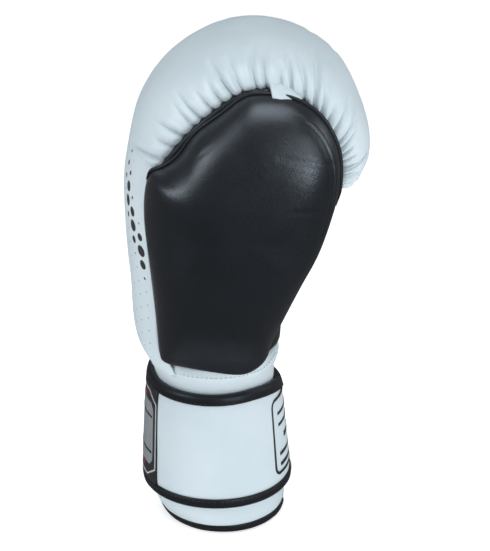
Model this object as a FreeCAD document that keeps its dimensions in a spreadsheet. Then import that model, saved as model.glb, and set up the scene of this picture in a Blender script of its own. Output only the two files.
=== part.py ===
"""Boxing glove with a hook-and-loop wrist strap, for the left hand.

The frame stands on the cuff with the fingers up: +Z runs from the wrist to the knuckles, -Y is the
thumb side, -X is the back of the hand and +X the palm. The origin is the centre of the cuff opening,
in the plane of the hem. Sizes are millimetres.
"""
import FreeCAD, Part
import math
import os

Vector = FreeCAD.Vector

SIZES = {
    "fullness": 2.4,           # how square the fist's sections are: 2 is an ellipse
    "thumb_fullness": 2.2,     # the same for the thumb
    "leather": 2.2,            # leather of the fist, thumb and cuff
    "lining": 1.0,             # cloth lining
    "layer_gap": 0.1,          # between one layer and the next
    "fist_offset": 7.0,        # the fist sits this far towards the little finger
    "palm_wall": 10.0,         # palm leather, palm foam and lining together
    "finger_line": 46.0,       # the fingers' leather starts this far out on the palm side
    "finger_base": 172.0,      # height where the knuckle and finger pieces start
    "wrist_band": 9.0,         # height of the plain band at the top of the cuff
    "recess_gap": 4.0,         # between the thumb and the hollow it lies in
    "hinge_height": 138.0,     # the thumb bends about this line
    "hinge_side": 48.0,        # distance of that line from the middle, on the thumb side
    "thumb_travel": 5.0,       # degrees that the thumb swings away from the fist
    "travel_spare": 0.6,       # degrees left free past the end of that swing
    "swing_gap": 0.8,          # between the thumb's lining and the hollow behind it
    "tab_length": 16.0,        # leather tab between the tip of the thumb and the fist
    "tab_thick": 1.6,
    "tab_gap": 6.0,            # height of the tab over the thumb's tip, which clears its piping
    "hem_depth": 37.6,         # half sizes of the cuff at the hem, across the palm and across the sides
    "hem_width": 46.0,
    "hem_shift": 4.2,          # the hem's middle lies this far to the palm side
    "flare_depth": 42.6,       # half sizes of the cuff just under the strap
    "flare_width": 50.6,
    "waist_depth": 36.6,       # half sizes of the cuff at its top
    "waist_width": 46.6,
    "waist_shift": 2.0,        # and the waist's middle this far to the back
    "cuff_height": 103.0,
    "cuff_foam": 5.0,
    "edge_wrap": 1.2,          # the hem's binding stands this far outside and inside the cuff
    "tongue_thick": 1.6,
    "tongue_gap": 0.5,         # between the lining and the tongue under the slit
    "tongue_bottom": 11.0,
    "tongue_top": 90.0,
    "tongue_angle": 26.0,      # the tongue reaches this many degrees each side of the slit
    "hem_height": 5.0,
    "hem_thick": 1.4,          # binding under the cuff's lower edge
    "slit_width": 9.0,
    "slit_height": 92.0,
    "slit_strip": 7.0,         # width of the stitched strip each side of the slit
    "strap_bottom": 21.5,
    "strap_top": 96.0,         # over the middle of the cuff
    "strap_slope": 0.05,       # the strap's top edge falls by this much per mm towards the palm
    "strap_clearance": 0.6,    # between the strap and the cuff
    "strap_thick": 4.4,
    "strap_binding": 6.8,      # visible width of the strap's black edges
    "binding_raise": 0.6,      # the edges stand this far above the strap's leather
    "hook_thick": 1.2,
    "hook_bottom": 34.0,
    "hook_top": 88.0,
    "patch_thick": 1.0,        # plate on the strap's end
    "patch_bottom": 30.0,
    "patch_top": 89.0,
    "label_thick": 0.5,
    "label_bottom": 38.0,
    "label_top": 86.0,
    "end_gap": 0.35,           # degrees left free each side of a bend in the strap
    "piping": 1.7,             # radius of the piped seams
    "piping_gap": 1.0,         # between the thumb's edge and the piping round it
    "grip_radius": 4.2,        # grip bar in the crease under the fingers
    "grip_length": 76.0,
    "grip_depth": 3.0,         # the bar sits this far inside the crease
}

# Fist sections from the wrist, over the knuckles and down to the finger ends: the outer point and the
# inner point in the XZ plane, and half the width across Y.
FIST_FIELDS = ("outer_x", "outer_z", "inner_x", "inner_z", "half_width")
FIST = [
    (-42, 106, 40, 99, 49),
    (-51, 125, 42, 118, 53),
    (-54, 160, 43, 146, 59),
    (-57, 200, 42, 180, 63),
    (-56, 235, 40, 208, 65),
    (-47, 272, 38, 230, 65),
    (-25, 300, 38, 245, 65),
    (8, 316, 42, 254, 64),
    (45, 314, 48, 254, 63),
    (75, 295, 53, 247, 61),
    (91, 266, 56, 241, 58),
    (95, 247, 59, 236, 53),
    (92, 236, 63, 231, 45),
    (86, 230, 68, 228, 33),
]

# Thickness and half width of the room for the hand at the fist sections.
HAND_FIELDS = ("thick", "half_width")
HAND = [(54, 36), (46, 38), (38, 41), (32, 43), (28, 44), (26, 43), (24, 42), (22, 42), (21, 41),
        (20, 40), (19, 38), (17, 34)]

# Thumb and side panel at a height: edges in X, then the inner and the outer face in Y.
THUMB_FIELDS = ("height", "back_x", "palm_x", "inner_y", "outer_y")
THUMB = [
    (110, -30, 27, -44, -58),
    (124, -33, 31, -47, -66),
    (140, -35, 35, -49, -74),
    (160, -37, 43, -49, -81),
    (185, -38, 55, -48, -87),
    (210, -41, 66, -47, -91),
    (228, -40, 72, -47, -92),
    (243, -30, 73, -47, -92),
    (258, -16, 72, -47, -89),
    (271, -4, 68, -48, -85),
    (281, 7, 61, -50, -79),
    (288, 18, 53, -54, -73),
]

# Room for the thumb at a height: middle in X and Y, then half sizes in X and Y.
HOLLOW_FIELDS = ("height", "x", "y", "half_x", "half_y")
HOLLOW = [
    (106, 4, -32, 16, 9),
    (122, 6, -46, 17, 11),
    (140, 9, -58, 17, 12),
    (170, 13, -66, 17, 14),
    (205, 19, -69, 16, 14),
    (240, 25, -69, 15, 13),
    (262, 29, -69, 13, 11),
    (273, 31, -68, 8, 7),
]

# Piped seam between the knuckle leather and the hollow for the thumb, and the piping round the thumb.
SEAM = [(-37, -53, 220), (-35, -54, 232), (-28, -57, 246), (-15, -59.2, 264), (-0.5, -59.8, 279.5),
        (7.5, -59.3, 287), (16, -58.4, 295.5), (31, -58, 298.6), (46, -56.8, 297.4), (57, -55.8, 292),
        (67, -56, 277), (71.5, -55.4, 261)]

# The strap is rooted beside the cuff's slit, crosses the palm and the thumb side and ends on the back.
# Degrees round the cuff from the palm, with the thumb side at -90.
STRAP = {"strap_root": (50, 35), "strap_palm": (35, -50), "strap_side": (-50, -128),
         "strap_end": (-128, -205)}
LABEL_ANGLES = (24, -39)
PATCH_ANGLES = (-139, -201)

doc = FreeCAD.newDocument("boxing_glove")
sheet = doc.addObject("Spreadsheet::Sheet", "Sizes")
nodes = []
REACH = 150                    # farther out than any of the glove
HIGH = 400                     # higher than all of it
LOW = -10                      # lower than all of it
ACROSS = Vector(0, 1, 0)
UP = Vector(0, 0, 1)
PALMWARD = Vector(1, 0, 0)


def fill_sheet():
    """Write every driving dimension to its own named cell."""
    cells = dict(SIZES)
    tables = (("fist", FIST_FIELDS, FIST), ("hand", HAND_FIELDS, HAND),
              ("thumb", THUMB_FIELDS, THUMB), ("hollow", HOLLOW_FIELDS, HOLLOW))
    for prefix, fields, rows in tables:
        for index, row in enumerate(rows):
            for field, value in zip(fields, row):
                cells[f"{prefix}{index}_{field}"] = value
    for row, (alias, value) in enumerate(cells.items(), start=1):
        sheet.set(f"A{row}", alias)
        sheet.set(f"B{row}", str(value))
        sheet.setAlias(f"B{row}", alias)
    doc.recompute()


def size(alias):
    return float(sheet.get(alias))


def ellipse(name, height, shift, depth, width):
    """Level ellipse round the cuff, written over the sheet: height, shift of its middle and half sizes."""
    curve = doc.addObject("Part::Ellipse", name)
    curve.setExpression("MajorRadius", width)
    curve.setExpression("MinorRadius", depth)
    curve.setExpression("Placement.Base.x", shift)
    curve.setExpression("Placement.Base.z", height)
    curve.Placement.Rotation = FreeCAD.Rotation(UP, 90)
    return curve


def oval(name, centre, wide, deep, half_wide, half_deep, fullness):
    """Closed oval section: wide and deep are its axes, fullness 2 makes an ellipse."""
    points = []
    steps = 16
    for step in range(steps + 1):
        angle = 2 * math.pi * (step % steps) / steps
        across = math.copysign(abs(math.cos(angle)) ** (2 / fullness), math.cos(angle))
        along = math.copysign(abs(math.sin(angle)) ** (2 / fullness), math.sin(angle))
        points.append(centre + wide * (half_wide * across) + deep * (half_deep * along))
    curve = Part.BSplineCurve()
    curve.interpolate(points)
    first, last = curve.FirstParameter, curve.LastParameter
    middle = (first + last) / 2
    section = doc.addObject("Part::Feature", name)
    section.Shape = Part.Wire([curve.toShape(first, middle), curve.toShape(middle, last)])
    return section


def loft(name, sections):
    solid = doc.addObject("Part::Loft", name)
    solid.Sections = sections
    solid.Solid = True
    return solid


def cut(name, base, *tools):
    """The base without the tools."""
    for index, tool in enumerate(tools):
        result = doc.addObject("Part::Cut", f"{name}_without_{index}")
        result.Base = base
        result.Tool = tool
        base = result
    return base


def common(name, base, *tools):
    """What the base shares with all the tools."""
    for index, tool in enumerate(tools):
        result = doc.addObject("Part::Common", f"{name}_within_{index}")
        result.Base = base
        result.Tool = tool
        base = result
    return base


def prism(name, points, direction, length):
    """Straight solid with a flat outline."""
    outline = doc.addObject("Part::Polygon", name + "_outline")
    outline.Nodes = points
    outline.Close = True
    solid = doc.addObject("Part::Extrusion", name)
    solid.Base = outline
    solid.Dir = direction
    solid.LengthFwd = length
    solid.Solid = True
    return solid


def side_prism(name, points):
    """Solid with an outline in the XZ plane, wider than the glove."""
    return prism(name, [Vector(x, -REACH, z) for x, z in points], ACROSS, 2 * REACH)


def block(name, low, high):
    """Upright box between two corners."""
    box = doc.addObject("Part::Box", name)
    box.Length, box.Width, box.Height = (top - bottom for bottom, top in zip(low, high))
    box.Placement.Base = Vector(*low)
    return box


def pipe(name, points, radius):
    """Round piping through points that lie near one XZ plane, as it runs along a seam."""
    curve = Part.BSplineCurve()
    curve.interpolate(points)
    sections = []
    for index, point in enumerate(points):
        along = curve.tangent(curve.parameter(point))[0]
        out = ACROSS.cross(along).normalize()
        sections.append(oval(f"{name}_{index}", point, out, along.cross(out), radius, radius, 2))
    return loft(name + "_piping", sections)


def keep(label, solid):
    """Name a finished piece and list it as a sub-part."""
    solid.Label = label
    nodes.append(solid)


# ---------------------------------------------------------------- shapes of the fist and thumb

def fist_line(index):
    """Inner point of a fist section, the unit direction to its outer point, and its depth."""
    outer = Vector(size(f"fist{index}_outer_x"), 0, size(f"fist{index}_outer_z"))
    inner = Vector(size(f"fist{index}_inner_x"), 0, size(f"fist{index}_inner_z"))
    depth = (outer - inner).Length
    return inner, (outer - inner) / depth, depth


def fist_side(index):
    """The fist leans to the little finger above the wrist."""
    return Vector(0, size("fist_offset") * min(1.0, index / 4), 0)


def fist_layer(name, inset, last):
    """Whole fist, this far inside its outer surface."""
    sections = []
    for index in range(last + 1):
        inner, direction, depth = fist_line(index)
        centre = inner + direction * (depth / 2) + fist_side(index)
        half_width = size(f"fist{index}_half_width") - inset
        sections.append(oval(f"{name}_{index}", centre, ACROSS, direction, half_width, depth / 2 - inset,
                             size("fullness")))
    return loft(name, sections)


def hand_middle(index):
    """Distance from the palm's surface to the middle of the room for the hand."""
    return size("palm_wall") + size(f"hand{index}_thick") / 2


def hand_room(name, grow):
    """Room for the hand, from the wrist over the palm to the fingertips."""
    sections = []
    for index in range(len(HAND)):
        inner, direction, _ = fist_line(index)
        centre = inner + direction * hand_middle(index) + fist_side(index)
        half_width = size(f"hand{index}_half_width") + grow
        half_thick = size(f"hand{index}_thick") / 2 + grow
        sections.append(oval(f"{name}_{index}", centre, ACROSS, direction, half_width, half_thick, 2))
    return loft(name, sections)


def palm_half():
    """Everything on the palm's side of the middle of the room for the hand."""
    points = []
    for index in range(len(HAND)):
        inner, direction, _ = fist_line(index)
        middle = inner + direction * hand_middle(index)
        points.append((middle.x, middle.z))
    points[0] = (points[0][0], LOW)
    base = size("finger_base")
    return side_prism("palm_half", points + [(points[-1][0], base), (REACH, base), (REACH, LOW)])


def thumb_layer(name, grow):
    """Thumb and side panel together, grown or shrunk all round."""
    sections = []
    ends = {0: -grow, len(THUMB) - 1: grow}
    for index in range(len(THUMB)):
        height, back, palm, inside, outside = (size(f"thumb{index}_{field}") for field in THUMB_FIELDS)
        centre = Vector((back + palm) / 2, (inside + outside) / 2, height + ends.get(index, 0))
        sections.append(oval(f"{name}_{index}", centre, PALMWARD, ACROSS, (palm - back) / 2 + grow,
                             (inside - outside) / 2 + grow, size("thumb_fullness")))
    return loft(name, sections)


def thumb_room(name, grow):
    """Room for the thumb, which opens into the room for the hand at its foot."""
    sections = []
    for index in range(len(HOLLOW)):
        height, x, y, half_x, half_y = (size(f"hollow{index}_{field}") for field in HOLLOW_FIELDS)
        sections.append(oval(f"{name}_{index}", Vector(x, y, height), PALMWARD, ACROSS,
                             half_x + grow, half_y + grow, 2))
    return loft(name, sections)


# ---------------------------------------------------------------- pieces

def wrist_cut(name, rise):
    """Everything above the slanted plane between the cuff and the fist, raised by this much."""
    outer = Vector(size("fist0_outer_x"), 0, size("fist0_outer_z") + rise)
    inner = Vector(size("fist0_inner_x"), 0, size("fist0_inner_z") + rise)
    along = (inner - outer).normalize()
    left = outer - along * REACH
    right = inner + along * REACH
    return side_prism(name, [(left.x, left.z), (right.x, right.z), (right.x, HIGH), (left.x, HIGH)])


def make_fist(shapes):
    """Leather, foam and lining of the fist, and the black leather of the hollow for the thumb."""
    layer_gap = size("layer_gap")
    under = fist_layer("fist_under_leather", size("leather"), len(FIST) - 2)
    foam_outside = fist_layer("fist_foam_outside", size("leather") + layer_gap, len(FIST) - 2)
    lined = hand_room("hand_room_lined", size("lining"))
    openings = [shapes["recess_cut"], shapes["side_cut"], shapes["thumb_in_foam"]]
    palm_half = shapes["palm_half"]
    finger_side = shapes["finger_side"]
    knuckle_height = shapes["knuckle_height"]
    above_band = wrist_cut("above_band", size("wrist_band"))

    outer = cut("outer_skin", shapes["fist"], palm_half)
    keep("wrist_band", cut("wrist_band", outer, above_band, under, *openings))
    keep("back_shell", cut("back_shell", common("upper_skin", outer, above_band), under, *openings))
    inner = common("inner_skin", shapes["fist"], palm_half)
    grip = shapes["grip"]
    keep("palm_leather", cut("palm_leather", inner, finger_side, under, grip, *openings))
    inner = common("finger_skin", inner, finger_side)
    keep("finger_panel", cut("finger_panel", inner, under, grip, *openings))

    hollows = [shapes["hand_in_foam"], *openings]
    outer = cut("outer_foam", foam_outside, palm_half)
    keep("back_foam", cut("back_foam", outer, knuckle_height, *hollows))
    upper = common("upper_foam", outer, knuckle_height)
    keep("knuckle_foam", cut("knuckle_foam", upper, finger_side, *hollows))
    keep("finger_foam", cut("finger_foam", common("finger_end", upper, finger_side), *hollows))
    inner = common("inner_foam", foam_outside, palm_half)
    keep("palm_foam", cut("palm_foam", inner, finger_side, *hollows, grip))
    keep("finger_pad", cut("finger_pad", common("finger_inside", inner, finger_side), *hollows, grip))
    keep("hand_lining", cut("hand_lining", lined, shapes["hand"], shapes["thumb_room"]))
    keep("grip_bar", shapes["grip_core"])

    wall = common("recess_wall", shapes["recess_back"], shapes["above_hinge"])
    clear_of_thumb = thumb_room("thumb_clear", size("lining") + size("swing_gap"))
    liner = cut("recess_skin", wall, shapes["recess"], clear_of_thumb)
    keep("thumb_recess_liner", common("thumb_recess_liner", liner, shapes["fist"]))
    keep("finger_seam_piping", pipe("finger_seam", [Vector(*point) for point in SEAM], size("piping")))


def thumb_edge(stand_off):
    """Points round the thumb's edge above its bend, this far outside it, from the palm over the tip."""
    edge = []
    well_above_bend = 4
    for index in reversed(range(well_above_bend, len(THUMB))):
        height, back, palm, inside, outside = (size(f"thumb{index}_{field}") for field in THUMB_FIELDS)
        edge.append(Vector(back, (inside + outside) / 2, height))
        edge.insert(0, Vector(palm, (inside + outside) / 2, height))
    tip = len(edge) // 2
    edge.insert(tip, (edge[tip - 1] + edge[tip]) / 2)
    points = []
    for index in range(1, len(edge) - 1):
        along = edge[index + 1] - edge[index - 1]
        points.append(edge[index] + ACROSS.cross(along).normalize() * stand_off)
    return points


def make_thumb(shapes):
    """Thumb above its bend, and the side panel that it grows out of below the bend."""
    layer_gap = size("layer_gap")
    under = thumb_layer("thumb_under_leather", -size("leather"))
    foam_outside = thumb_layer("thumb_foam_outside", -size("leather") - layer_gap)
    lined = thumb_room("thumb_room_lined", size("lining"))
    in_foam = shapes["thumb_in_foam"]
    above = shapes["above_hinge"]
    travel = shapes["travel_gap"]

    keep("thumb_shell", cut("thumb_shell", common("upper_thumb", shapes["thumb"], above), under, in_foam))
    keep("thumb_foam", cut("thumb_foam", common("upper_padding", foam_outside, above), in_foam))
    keep("thumb_lining", cut("thumb_lining", common("upper_cloth", lined, above), shapes["thumb_room"]))
    keep("side_panel", cut("side_panel", shapes["thumb"], above, travel, under, in_foam))
    keep("side_foam", cut("side_foam", foam_outside, above, travel, in_foam))
    keep("thumb_sleeve", cut("thumb_sleeve", lined, above, travel, shapes["thumb_room"],
                             shapes["hand_in_foam"]))

    radius = size("piping")
    keep("thumb_piping", pipe("thumb_edge", thumb_edge(radius + size("piping_gap")), radius))

    last = f"thumb{len(THUMB) - 1}"
    bottom = size(last + "_height") + size("tab_gap")
    middle = (size(last + "_back_x") + size(last + "_palm_x")) / 2
    half = size("tab_length") / 2
    tab = block("tab", (middle - half, size(last + "_outer_y"), bottom),
                (middle + half, -size("hinge_side"), bottom + size("tab_thick")))
    keep("thumb_lock_tab", cut("thumb_lock_tab", tab, shapes["fist"]))


# ---------------------------------------------------------------- cuff and strap

def slab(name, low, high):
    """Everything between two heights."""
    return block(name, (-REACH, -REACH, low), (REACH, REACH, high))


def sector(name, first, last, low, high):
    """Wedge round the cuff's middle between two angles, given from the greater to the smaller."""
    steps = 4
    points = [Vector(0, 0, low)]
    for step in range(steps + 1):
        angle = math.radians(first + (last - first) * step / steps)
        points.append(Vector(REACH * math.cos(angle), REACH * math.sin(angle), low))
    return prism(name, points, UP, high - low)


def cuff_layer(name, inset):
    """Solid inside the cuff's outer surface, from the hem up past the wrist, this much smaller."""
    rise = 8                   # past the wrist, where the slanted plane ends it
    slope = f"{rise} / (Sizes.cuff_height - Sizes.strap_bottom)"
    top_depth = f"Sizes.waist_depth - (Sizes.flare_depth - Sizes.waist_depth) * {slope} - ({inset})"
    top_width = f"Sizes.waist_width - (Sizes.flare_width - Sizes.waist_width) * {slope} - ({inset})"
    return ruled_loft(name, [
        ellipse(f"{name}_hem", "0", "Sizes.hem_shift", f"Sizes.hem_depth - ({inset})",
                f"Sizes.hem_width - ({inset})"),
        ellipse(f"{name}_flare", "Sizes.strap_bottom", "0", f"Sizes.flare_depth - ({inset})",
                f"Sizes.flare_width - ({inset})"),
        ellipse(f"{name}_top", f"Sizes.cuff_height + {rise}", f"0 - Sizes.waist_shift * (1 + {slope})",
                top_depth, top_width)])


def ruled_loft(name, sections):
    solid = loft(name, sections)
    solid.Ruled = True
    return solid


def make_cuff():
    """Cuff split on the palm side over a soft tongue: leather, foam and lining, with a bound hem."""
    foam = "Sizes.leather + Sizes.cuff_foam"
    cloth = foam + " + Sizes.lining"
    layer_gap = size("layer_gap")
    hem_thick = size("hem_thick")
    half_slit = size("slit_width") / 2
    slit = block("slit", (0, -half_slit, LOW), (REACH, half_slit, size("slit_height")))
    trims = [wrist_cut("cuff_end", -2 * layer_gap), slab("in_hem", LOW, hem_thick + layer_gap), slit]

    edge = half_slit + size("slit_strip")
    edges = block("slit_edges", (0, -edge, size("hem_height")), (REACH, edge, size("slit_height")))
    patch = sector("loop_sector", *PATCH_ANGLES, size("patch_bottom"), size("patch_top"))
    outer = cuff_layer("cuff_outside", "0")
    under = cuff_layer("cuff_under_leather", "Sizes.leather")
    skin = cut("cuff_skin", outer, *trims)
    keep("slit_edge_strips", cut("slit_edge_strips", common("slit_edges_solid", skin, edges), under))
    loop_inside = cuff_layer("loop_inside", "Sizes.hook_thick")
    loop = cut("loop_fastener", common("loop_solid", outer, patch), loop_inside)
    keep("loop_fastener", loop)
    keep("cuff_shell", cut("cuff_shell", skin, edges, under, loop))
    padding = cut("cuff_padding", cuff_layer("cuff_foam_outside", "Sizes.leather + Sizes.layer_gap"), *trims)
    keep("cuff_foam", cut("cuff_foam", padding, cuff_layer("cuff_foam_inside", foam + " - Sizes.layer_gap")))
    cloth_skin = cut("cuff_cloth", cuff_layer("cloth_outside", foam), *trims)
    keep("cuff_lining", cut("cuff_lining", cloth_skin, cuff_layer("cuff_inside", cloth)))

    core_inside = cuff_layer("hem_core_inside", cloth + " + Sizes.layer_gap")
    core = cut("hem_core", cuff_layer("hem_core_outside", "0 - Sizes.layer_gap"),
               slab("in_hem_core", LOW, hem_thick), core_inside)
    hem = cut("hem_solid", cuff_layer("hem_outside", "0 - Sizes.edge_wrap"),
              slab("over_hem", size("hem_height"), HIGH), slit)
    keep("hem_binding", cut("hem_binding", hem, cuff_layer("hem_inside", cloth + " + Sizes.edge_wrap"), core))

    behind = cloth + " + Sizes.tongue_gap"
    angle = size("tongue_angle")
    tongue = common("tongue_solid", cuff_layer("tongue_outside", behind),
                    sector("tongue_sector", angle, -angle, size("tongue_bottom"), size("tongue_top")))
    tongue_inside = cuff_layer("tongue_inside", behind + " + Sizes.tongue_thick")
    keep("slit_tongue", cut("slit_tongue", tongue, tongue_inside))


def strap_layer(name, outset):
    """Solid inside the strap's outer surface, this much larger than the cuff."""
    return cuff_layer(name, f"0 - ({outset})")


def strap_top_cut(name, drop):
    """Everything above the strap's slanted top edge, lowered by this much."""
    top = size("strap_top") - drop
    fall = size("strap_slope") * REACH
    return side_prism(name, [(-REACH, top + fall), (REACH, top - fall), (REACH, HIGH), (-REACH, HIGH)])


def make_strap():
    """Strap in four lengths that bend at their joins: leather, bound edges and what is fixed to them."""
    inside = "Sizes.strap_clearance"
    outside = "Sizes.strap_clearance + Sizes.strap_thick"
    bottom = size("strap_bottom")
    binding = size("strap_binding")
    inner = strap_layer("strap_inside", inside)
    outer = strap_layer("strap_outside", outside)
    leather_ring = cut("strap_leather", outer, inner, slab("under_leather", LOW, bottom + binding),
                       strap_top_cut("over_leather", binding))
    wrapped = cut("strap_wrap", strap_layer("binding_outside", outside + " + Sizes.binding_raise"), inner,
                  slab("under_strap", LOW, bottom), strap_top_cut("over_strap", 0))
    low_ring = cut("low_ring", wrapped, slab("over_low", bottom + binding, HIGH))
    high_ring = common("high_ring", wrapped, strap_top_cut("from_high", binding))

    hook = cut("hook_layer", strap_layer("hook_outside", inside + " + Sizes.hook_thick"), inner)
    hooks = sector("hook_sector", *PATCH_ANGLES, size("hook_bottom"), size("hook_top"))
    hook = common("hook_fastener", hook, hooks)
    patch = cut("patch_layer", strap_layer("patch_outside", outside + " + Sizes.patch_thick"), outer)
    label = cut("label_layer", strap_layer("label_outside", outside + " + Sizes.label_thick"), outer)

    free = size("end_gap")
    for name, (first, last) in STRAP.items():
        part = sector(name + "_sector", first - free, last + free, LOW, size("strap_top") + REACH)
        leather = common(name + "_leather", leather_ring, part)
        if name == "strap_end":
            leather = cut("strap_end_leather_hooked", leather, hook)
        keep(name + "_leather", leather)
        keep(name + "_low_binding", common(name + "_low_binding", low_ring, part))
        keep(name + "_high_binding", common(name + "_high_binding", high_ring, part))
    keep("hook_fastener", hook)
    plate = sector("patch_sector", *PATCH_ANGLES, size("patch_bottom"), size("patch_top"))
    keep("closure_patch", common("closure_patch", patch, plate))
    badge = sector("label_sector", *LABEL_ANGLES, size("label_bottom"), size("label_top"))
    keep("strap_label", common("strap_label", label, badge))


# ---------------------------------------------------------------- the whole glove

def shared_shapes():
    """Solids that more than one piece is cut with."""
    layer_gap = size("layer_gap")
    room_wall = size("lining") + layer_gap
    hinge_height = size("hinge_height")
    hinge_side = -size("hinge_side")
    recess_gap = size("recess_gap")
    liner = recess_gap + size("leather")

    above_hinge = slab("above_hinge", hinge_height, HIGH)
    swing = block("travel_gap", (-REACH, hinge_side - REACH, hinge_height), (REACH, hinge_side, HIGH))
    turn = FreeCAD.Rotation(PALMWARD, size("thumb_travel") + size("travel_spare"))
    swing.Placement = FreeCAD.Placement(Vector(), turn, Vector(0, hinge_side, hinge_height)) * swing.Placement
    recess_back = thumb_layer("recess_back", liner)
    recess_cut = common("recess_cut", thumb_layer("recess_outside", liner + layer_gap), above_hinge)
    side_cut = cut("side_cut", thumb_layer("side_outside", layer_gap), above_hinge)

    crease = Vector(size("fist7_inner_x") + size("grip_depth"), size("fist_offset") - size("grip_length") / 2,
                    size("fist7_inner_z") + size("palm_wall") / 2)
    bars = {}
    for name, radius in (("grip", "Sizes.grip_radius + Sizes.layer_gap"), ("grip_core", "Sizes.grip_radius")):
        bar = doc.addObject("Part::Cylinder", name)
        bar.setExpression("Radius", radius)
        bar.setExpression("Height", "Sizes.grip_length")
        bar.Placement = FreeCAD.Placement(crease, FreeCAD.Rotation(UP, ACROSS))
        bars[name] = bar
    return {
        "fist": fist_layer("fist_outside", 0, len(FIST) - 1),
        "palm_half": palm_half(),
        "finger_side": block("finger_side", (size("finger_line"), -REACH, size("finger_base")),
                             (REACH, REACH, HIGH)),
        "knuckle_height": slab("knuckle_height", size("finger_base"), HIGH),
        "hand": hand_room("hand_room", 0),
        "hand_in_foam": hand_room("hand_in_foam", room_wall),
        "thumb": thumb_layer("thumb_outside", 0),
        "thumb_room": thumb_room("thumb_hollow", 0),
        "thumb_in_foam": thumb_room("thumb_in_foam", room_wall),
        "recess": thumb_layer("recess", recess_gap),
        "recess_back": recess_back,
        "recess_cut": recess_cut,
        "side_cut": side_cut,
        "above_hinge": above_hinge,
        "travel_gap": swing,
        "grip": bars["grip"],
        "grip_core": bars["grip_core"],
    }


def check():
    """Stop on any object that failed and on any empty or broken piece."""
    for item in doc.Objects:
        if "Invalid" in item.State or "Error" in item.State:
            raise RuntimeError(f"{item.Label} failed: {item.State}")
    for node in nodes:
        if node.Shape.isNull() or not node.Shape.isValid() or not node.Shape.Solids:
            raise RuntimeError(f"{node.Label} has no sound solid")


def write():
    os.makedirs("parts", exist_ok=True)
    for node in nodes:
        node.Shape.exportStep(os.path.join("parts", node.Label + ".step"))


fill_sheet()
shapes = shared_shapes()
make_fist(shapes)
make_thumb(shapes)
make_cuff()
make_strap()
doc.recompute()
check()
write()
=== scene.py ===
"""Looks of the boxing glove: puckered white leather fist, black leather thumb, cuff and wrist strap."""
import math
import random

import bpy
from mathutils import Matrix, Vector, noise


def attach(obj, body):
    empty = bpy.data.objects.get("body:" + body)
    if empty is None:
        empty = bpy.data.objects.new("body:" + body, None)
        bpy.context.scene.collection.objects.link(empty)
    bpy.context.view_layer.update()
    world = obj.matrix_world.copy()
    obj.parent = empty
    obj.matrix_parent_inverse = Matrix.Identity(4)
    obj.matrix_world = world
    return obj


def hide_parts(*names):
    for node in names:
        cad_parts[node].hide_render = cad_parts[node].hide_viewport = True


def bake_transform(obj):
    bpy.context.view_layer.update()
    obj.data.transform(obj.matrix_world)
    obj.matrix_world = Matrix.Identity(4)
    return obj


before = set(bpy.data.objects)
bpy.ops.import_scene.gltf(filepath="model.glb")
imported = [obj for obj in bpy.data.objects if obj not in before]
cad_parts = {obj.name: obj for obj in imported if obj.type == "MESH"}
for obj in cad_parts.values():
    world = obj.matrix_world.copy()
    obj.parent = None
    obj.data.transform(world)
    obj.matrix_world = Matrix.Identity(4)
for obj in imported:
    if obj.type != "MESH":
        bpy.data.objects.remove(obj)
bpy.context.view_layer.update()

MM = 0.001

# Fist sections in millimetres: outer point and inner point in XZ, and half the width. Places along the
# fist are counted in these sections. All but the last two are the part's.
FIST = [
    (-42, 106, 40, 99, 49),
    (-51, 125, 42, 118, 53),
    (-54, 160, 43, 146, 59),
    (-57, 200, 42, 180, 63),
    (-56, 235, 40, 208, 65),
    (-47, 272, 38, 230, 65),
    (-25, 300, 38, 245, 65),
    (8, 316, 42, 254, 64),
    (45, 314, 48, 254, 63),
    (75, 295, 53, 247, 61),
    (91, 266, 56, 241, 58),
    (95, 247, 59, 236, 53),
    (92.5, 235, 62, 229.5, 46),
    (87, 228, 67, 225, 36),
]
# The fist stands this far to the little finger's side, and reaches that place at this section.
FIST_OFFSET = 7.0
OFFSET_SECTION = 4
# How full the sections are: 2 is an ellipse, and more is squarer.
FULLNESS = 2.6
# The section where the palm's leather meets that of the fingers.
FINGERS_FROM = 7.35
# Thickness of the fist's leather.
LEATHER = 1.6

# Where the white leather ends, as a share of the depth from the inner to the outer line, at each
# section: on the thumb side and on the little finger's side.
THUMB_SEAM = [.80, .81, .81, .83, .82, .69, .61, .60, .57, .50, .43, .40, .36, .30]
PALM_SEAM = [.42, .42, .42, .42, .42, .44, .46, .48, .48, .46, .44, .42, .40, .36]
# The sections between which the white leather is gathered, and the gathers at each of its two seams.
PUCKERS_FROM = 4.25
PUCKERS_TO = 12.6
THUMB_SIDE_PUCKERS = 30
PALM_SIDE_PUCKERS = 27
PUCKER_LENGTHS = (24, 33, 42, 54, 64)


# ------------------------------------------------------------------ small tools

def lerp(a, b, t):
    return a + (b - a) * t


def clamp(x, low=0.0, high=1.0):
    return max(low, min(high, x))


def smooth(x, low=0.0, high=1.0):
    """0 below low, 1 above high, smooth between."""
    t = clamp((x - low) / (high - low))
    return t * t * (3 - 2 * t)


def hill(x, middle, width):
    return math.exp(-((x - middle) / width) ** 2)


def catmull_rom(rows, x):
    """Numbers at x between the second and the third of four rows."""
    return [0.5 * (2 * q + (r - p) * x + (2 * p - 5 * q + 4 * r - s) * x * x
                   + (3 * q - p - 3 * r + s) * x ** 3) for p, q, r, s in zip(*rows)]


def spline(rows, t):
    """Smooth curve through rows of numbers, at t counted in rows."""
    last = len(rows) - 1
    t = clamp(t, 0, last)
    index = min(int(t), last - 1)
    return catmull_rom([rows[clamp(index + k, 0, last)] for k in (-1, 0, 1, 2)], t - index)


def closed_spline(points, t):
    """Smooth curve round a closed outline, at t counted in points."""
    index = int(t)
    around = [points[(index + k) % len(points)] for k in (-1, 0, 1, 2)]
    return Vector(catmull_rom(around, t - index))


def value_at(values, t):
    return spline([(value,) for value in values], t)[0]


def signed_power(x, power):
    return math.copysign(abs(x) ** power, x)


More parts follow.
